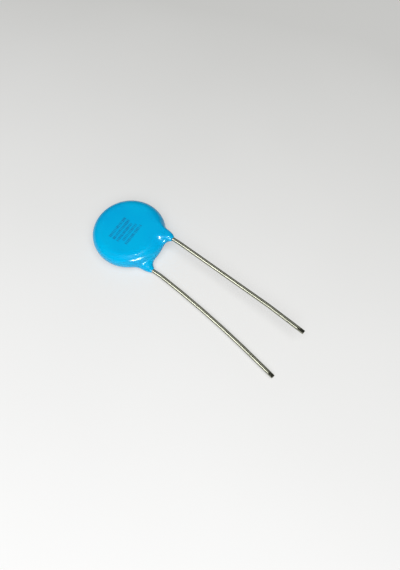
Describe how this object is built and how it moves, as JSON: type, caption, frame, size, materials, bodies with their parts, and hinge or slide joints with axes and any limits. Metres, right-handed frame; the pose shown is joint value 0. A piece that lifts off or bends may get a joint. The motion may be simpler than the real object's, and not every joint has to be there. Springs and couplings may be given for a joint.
{
  "type": "disc varistor",
  "caption": "Blue epoxy-coated disc varistor with two long tinned wire leads, lying flat on its back face.",
  "frame": {"origin": "centre of the flat back face, on the disc's axis; the part lies on this face", "axes": "+Z out of the front face along the disc's axis, the leads run toward -Y, +X is the front lead's side"},
  "size_m": [0.0159, 0.0487, 0.0045],
  "materials": {
    "epoxy_coat": "glossy dipped epoxy",
    "zinc_oxide": "matte sintered ceramic",
    "fired_silver": "matte fired silver",
    "solder": "satin solder",
    "tinned_wire": "bright tinned copper wire"
  },
  "bodies": {
    "root": {"coating": "epoxy_coat", "ceramic_disc": "zinc_oxide", "electrode_front": "fired_silver", "electrode_back": "fired_silver", "solder_front": "solder", "solder_back": "solder", "lead_front": "tinned_wire", "lead_back": "tinned_wire"}
  },
  "joints": []
}
